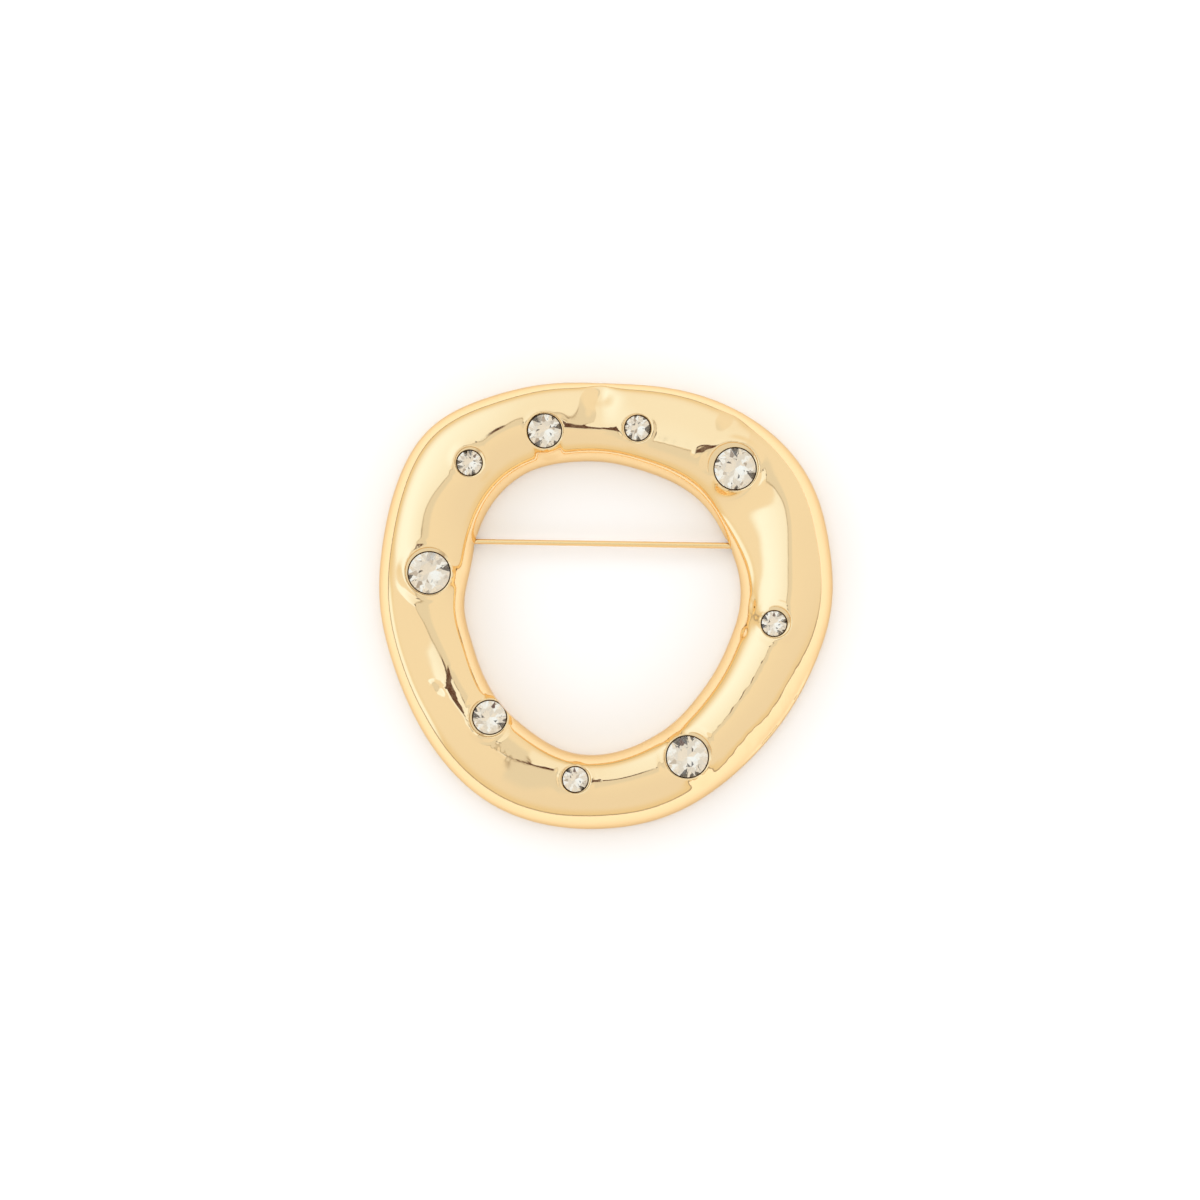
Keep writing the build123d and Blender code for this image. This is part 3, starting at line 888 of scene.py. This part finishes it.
class BROOCH_OT_pin(bpy.types.Operator):
    """Model the pin: drawn wire with a sharp point and a flattened, drilled eye"""

    bl_idname = "brooch.pin"
    bl_label = "Pin"

    def execute(self, context):
        sizes = context.scene.brooch_findings
        place = pin_place(context)[0]
        start = sizes.rivet / 2 + sizes.running + sizes.wire / 4
        low, high = box_mm("pin_stem")
        tip = (high - low).x - sizes.eye / 2
        deselect()
        bpy.ops.mesh.primitive_cylinder_add(vertices=32, radius=sizes.wire / 2, depth=1, end_fill_type="NGON",
                                            location=(start + 0.5, 0, 0), rotation=(0, pi / 2, 0))
        wire = context.object
        bake_place(wire)
        point_start = tip - sizes.point
        thin = sizes.wire_at_catch / 2
        # Places along the wire and its radius there: it narrows to the point, and then comes to it in a curve
        stations = [
            (point_start, thin),
            (point_start + 0.55 * sizes.point, thin * 0.78),
            (tip - 0.15, thin * 0.22),
            (tip, thin * 0.06),
        ]
        at, radius = start + 1, sizes.wire / 2
        edit(wire)
        for face in bmesh.from_edit_mesh(wire.data).faces:
            face.select_set(face.normal.x > 0.9)
        bpy.ops.mesh.select_mode(type="FACE")
        for next_at, next_radius in stations:
            bpy.ops.mesh.extrude_region_move(TRANSFORM_OT_translate={"value": (next_at - at, 0, 0)})
            share = next_radius / radius
            bpy.ops.transform.resize(value=(1, share, share), center_override=(next_at, 0, 0))
            at, radius = next_at, next_radius
        bpy.ops.object.mode_set(mode="OBJECT")
        boolean(wire, rod(sizes.eye / 2, sizes.eye_thickness), "UNION")
        boolean(wire, rod(sizes.rivet / 2 + sizes.running, 2 * sizes.eye))
        round_edges(wire, sizes.edge)
        wire.data.transform(place)
        give(wire, plain_gold("drawn_plated_wire"))
        finish_piece(wire, "pin_wire", "pin", ["pin_stem"], angle=SMOOTH_FINDINGS)
        return {"FINISHED"}


class BROOCH_OT_joint(bpy.types.Operator):
    """Model the pin's joint: two stamped ears under one base, and the rivet through them"""

    bl_idname = "brooch.joint"
    bl_label = "Joint and rivet"

    def execute(self, context):
        sizes = context.scene.brooch_findings
        place = pin_place(context)[0]
        gold = plain_gold("stamped_gold_plated_steel")
        top = box_mm("pin_joint")[1].z - place.translation.z
        drop = top - sizes.base / 2
        outside = ear_inside(sizes) + sizes.ear
        joint = block((sizes.base_length, 2 * outside, sizes.base), (0, 0, drop))
        for side in (-1, 1):
            across = side * (ear_inside(sizes) + sizes.ear / 2)
            ear = rod(sizes.eye / 2, sizes.ear, (0, across, 0))
            boolean(ear, block((sizes.eye, sizes.ear, drop), (0, across, drop / 2)), "UNION")
            boolean(joint, ear, "UNION")
        boolean(joint, rod(sizes.rivet / 2 + sizes.seat, 4 * outside))
        round_edges(joint, sizes.edge)
        joint.data.transform(place)
        give(joint, gold)
        finish_piece(joint, "joint_ears", "brooch", ["pin_joint"], angle=SMOOTH_FINDINGS)
        # The rivet is turned as one solid with its two heads
        inside, head = outside + sizes.seat, sizes.rivet_head / 2
        end, round_off = inside + sizes.rivet_head_thickness, 0.6 * sizes.rivet_head_thickness
        profile = [(0, -end), (head - round_off, -end), (head - 0.3 * round_off, -end + 0.3 * round_off),
                   (head, -end + round_off), (head, -inside), (sizes.rivet / 2, -inside)]
        profile += [(radius, -z) for radius, z in reversed(profile)]
        rivet = lathe("rivet", profile, 48)
        rivet.data.transform(place @ Matrix.Rotation(pi / 2, 4, "X"))
        give(rivet, gold)
        finish_piece(rivet, "joint_rivet_pin", "brooch", ["joint_rivet"],
                     angle=SMOOTH_FINDINGS)
        return {"FINISHED"}


class BROOCH_OT_catch(bpy.types.Operator):
    """Model the catch: a hook bent round the pin, with its mouth facing down"""

    bl_idname = "brooch.catch"
    bl_label = "Catch"

    def execute(self, context):
        sizes = context.scene.brooch_findings
        place, reach = pin_place(context)
        top = box_mm("pin_catch")[1].z - place.translation.z
        drop = top - sizes.base / 2
        bore = sizes.wire_at_catch / 2 + sizes.catch_room
        outer = bore + sizes.catch_wall
        width = 2 * (ear_inside(sizes) + sizes.ear)
        catch = block((sizes.base_length, width, sizes.base), (reach, 0, drop))
        hook = rod(outer, sizes.catch_length, (reach, 0, 0), "X")
        boolean(hook, block((sizes.catch_length, 2 * sizes.catch_wall, drop), (reach, 0, drop / 2)), "UNION")
        boolean(hook, rod(bore, 2 * sizes.catch_length, (reach, 0, 0), "X"))
        mouth = (2 * sizes.catch_length, sizes.catch_mouth, outer)
        boolean(hook, block(mouth, (reach, 0, -outer / 2 - 0.01)))
        boolean(catch, hook, "UNION")
        round_edges(catch, sizes.edge)
        catch.data.transform(place)
        give(catch, plain_gold("bent_gold_plated_steel"))
        finish_piece(catch, "catch_hook", "brooch", ["pin_catch"], angle=SMOOTH_FINDINGS)
        return {"FINISHED"}


# The stage

def tent_light(world):
    """A white light tent: a bright sheet at the upper left, dark lines by it and low down, and the lens."""
    world.use_nodes = True
    tree = world.node_tree
    tree.nodes.clear()
    direction = add(tree, "ShaderNodeTexCoord").outputs["Generated"]
    height = add(tree, "ShaderNodeSeparateXYZ", {"Vector": direction}).outputs["Z"]

    def facing(azimuth, elevation):
        """1 toward a direction in degrees, and less away from it."""
        a, e = radians(azimuth), radians(elevation)
        node = add(tree, "ShaderNodeVectorMath", {0: direction}, operation="DOT_PRODUCT")
        node.inputs[1].default_value = (cos(a) * cos(e), sin(a) * cos(e), sin(e))
        return node.outputs["Value"]

    def ramp(value, low, high):
        node = add(tree, "ShaderNodeMapRange", {"Value": value}, From_Min=low, From_Max=high,
                   interpolation_type="SMOOTHSTEP")
        return node.outputs["Result"]

    def times(a, b):
        return add(tree, "ShaderNodeMath", {0: a, 1: b}, operation="MULTIPLY").outputs["Value"]

    def layer(below, colour, share):
        node = add(tree, "ShaderNodeMix", {"Factor": share}, data_type="RGBA")
        for socket, given in ((node.inputs[6], below), (node.inputs[7], colour)):
            if isinstance(given, tuple):
                socket.default_value = (*given, 1)
            else:
                tree.links.new(given, socket)
        return node.outputs[2]

    # The walls are dullest at the lower right
    dull = ramp(facing(292, 0), 0.0, 0.8)
    colour = layer((0.92, 0.92, 0.90), (0.87, 0.865, 0.86), dull)
    # Low down they take the warm colour of the table
    warm = times(ramp(height, 0.42, 0.10), ramp(facing(20, 0), 0.98, 0.5))
    colour = layer(colour, (0.85, 0.78, 0.62), warm)
    # A lit sheet hangs from the top to the left and the back, brightest at the left and open low down
    toward = facing(148, 0)
    level = add(tree, "ShaderNodeMapRange", {"Value": facing(186, 0)},
                From_Min=-0.1, From_Max=0.6, To_Min=0.34, To_Max=1.0).outputs["Result"]
    sheet = times(times(ramp(toward, 0.02, 0.05), ramp(facing(100, 31), 0.32, 0.42)), ramp(height, 0.1, 0.6))
    sheet = times(sheet, ramp(facing(99, 0), -0.07, -0.03))
    colour = layer(colour, (1.03, 1.25, 1.56), times(level, sheet))
    # A narrow bright strip hangs low at the left
    strip = times(ramp(facing(198, 0), 0.93, 0.97), ramp(height, 0.30, 0.18))
    colour = layer(colour, (1.03, 1.20, 1.40), strip)
    # Overhead a dim gap runs along the sheet, with the sheet's dark edge beside it
    gap = times(ramp(toward, 0.035, 0.02), ramp(toward, -0.20, -0.12))
    gap = times(gap, ramp(height, 0.5, 0.8))
    colour = layer(colour, (0.80, 0.83, 0.86), gap)
    rim = times(times(ramp(toward, 0.012, 0.02), ramp(toward, 0.04, 0.03)), ramp(height, 0.8, 0.95))
    colour = layer(colour, (0.45, 0.40, 0.36), rim)
    # Just over the table the tent is dark all round, but for a side at the right
    horizon = times(ramp(height, -0.02, 0.0), ramp(height, 0.075, 0.03))
    horizon = times(horizon, ramp(facing(28, 0), 0.95, 0.7))
    colour = layer(colour, (0.42, 0.38, 0.34), horizon)
    # The lens is a dark disc about 2 degrees in radius
    lens = ramp(facing(LENS_AZIMUTH, LENS_ELEVATION), cos(radians(2.3)), cos(radians(1.7)))
    colour = layer(colour, (0.10, 0.045, 0.035), lens)
    # The paper is lit mostly by the tent's low walls, and most by the upper left one
    low = ramp(height, 0.75, 0.40)
    walls = layer((0.63, 0.55, 0.45), (1.64, 1.75, 1.94), low)
    walls = layer(walls, (2.08, 2.20, 2.42), times(low, ramp(facing(130, 0), 0.2, 0.9)))
    path = add(tree, "ShaderNodeLightPath")
    colour = layer(colour, walls, path.outputs["Is Diffuse Ray"])
    background = add(tree, "ShaderNodeBackground", {"Color": colour}, Strength=1.0)
    tree.links.new(background.outputs["Background"], add(tree, "ShaderNodeOutputWorld").inputs["Surface"])


class BROOCH_OT_stage(bpy.types.Operator):
    """Lay the pale floor, light the tent and set the camera straight above"""

    bl_idname = "brooch.stage"
    bl_label = "Stage"

    def execute(self, context):
        sizes, scene = context.scene.brooch_stage, context.scene
        deselect()
        bpy.ops.mesh.primitive_plane_add(size=sizes.floor_width, location=(0, 0, -sizes.floor_drop))
        floor = context.object
        floor.name = "floor"
        bake_place(floor)
        material, tree, out = new_material("matt_paper")
        paper = add(tree, "ShaderNodeBsdfPrincipled", Base_Color=linear(scene.brooch_finish.floor),
                    Roughness=0.9, Specular_IOR_Level=0.1)
        tree.links.new(paper.outputs["BSDF"], out.inputs["Surface"])
        give(floor, material)
        world = bpy.data.worlds.new("light_tent")
        scene.world = world
        tent_light(world)
        lamp = bpy.data.objects.new("lamp", bpy.data.lights.new("lamp", "SUN"))
        scene.collection.objects.link(lamp)
        lamp.data.energy, lamp.data.angle = sizes.lamp_strength, sizes.lamp_spread
        lamp.rotation_euler = (sizes.lamp_tilt, 0, 0)
        lamp.visible_glossy = False
        lamp.visible_transmission = False
        camera = bpy.data.objects.new("camera", bpy.data.cameras.new("camera"))
        scene.collection.objects.link(camera)
        camera.location = (sizes.aside, sizes.ahead, sizes.height)
        camera.data.sensor_width = 36
        camera.data.lens = camera.data.sensor_width * sizes.height / sizes.frame_width
        camera.data.clip_start, camera.data.clip_end = 0.1, 10
        scene.camera = camera
        scene.view_settings.view_transform = "Standard"
        return {"FINISHED"}


class BROOCH_PT_sidebar(bpy.types.Panel):
    """The steps in the order in which they are made"""

    bl_label = "Circle Pin Brooch"
    bl_idname = "BROOCH_PT_sidebar"
    bl_space_type = "VIEW_3D"
    bl_region_type = "UI"
    bl_category = "Brooch"

    def draw(self, context):
        for step in STEPS:
            self.layout.operator(step.bl_idname)
        for name in GROUPS:
            group = getattr(context.scene, name)
            box = self.layout.box()
            box.label(text=name.replace("brooch_", "").capitalize())
            for key in group.__annotations__:
                box.prop(group, key)


STEPS = [BROOCH_OT_ring, BROOCH_OT_crystals, BROOCH_OT_pin, BROOCH_OT_joint, BROOCH_OT_catch, BROOCH_OT_stage]
GROUPS = {
    "brooch_ring": RingSizes,
    "brooch_findings": FindingSizes,
    "brooch_finish": Finish,
    "brooch_stage": StageSizes,
}


def register():
    for kind in [*GROUPS.values(), *STEPS, BROOCH_PT_sidebar]:
        bpy.utils.register_class(kind)
    for name, kind in GROUPS.items():
        setattr(bpy.types.Scene, name, PointerProperty(type=kind))


def unregister():
    for name in GROUPS:
        delattr(bpy.types.Scene, name)
    for kind in [BROOCH_PT_sidebar, *reversed(STEPS), *GROUPS.values()]:
        bpy.utils.unregister_class(kind)


def main():
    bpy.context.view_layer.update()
    register()
    for step in STEPS:
        group, name = step.bl_idname.split(".")
        getattr(getattr(bpy.ops, group), name)()
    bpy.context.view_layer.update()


if __name__ == "__main__":
    main()
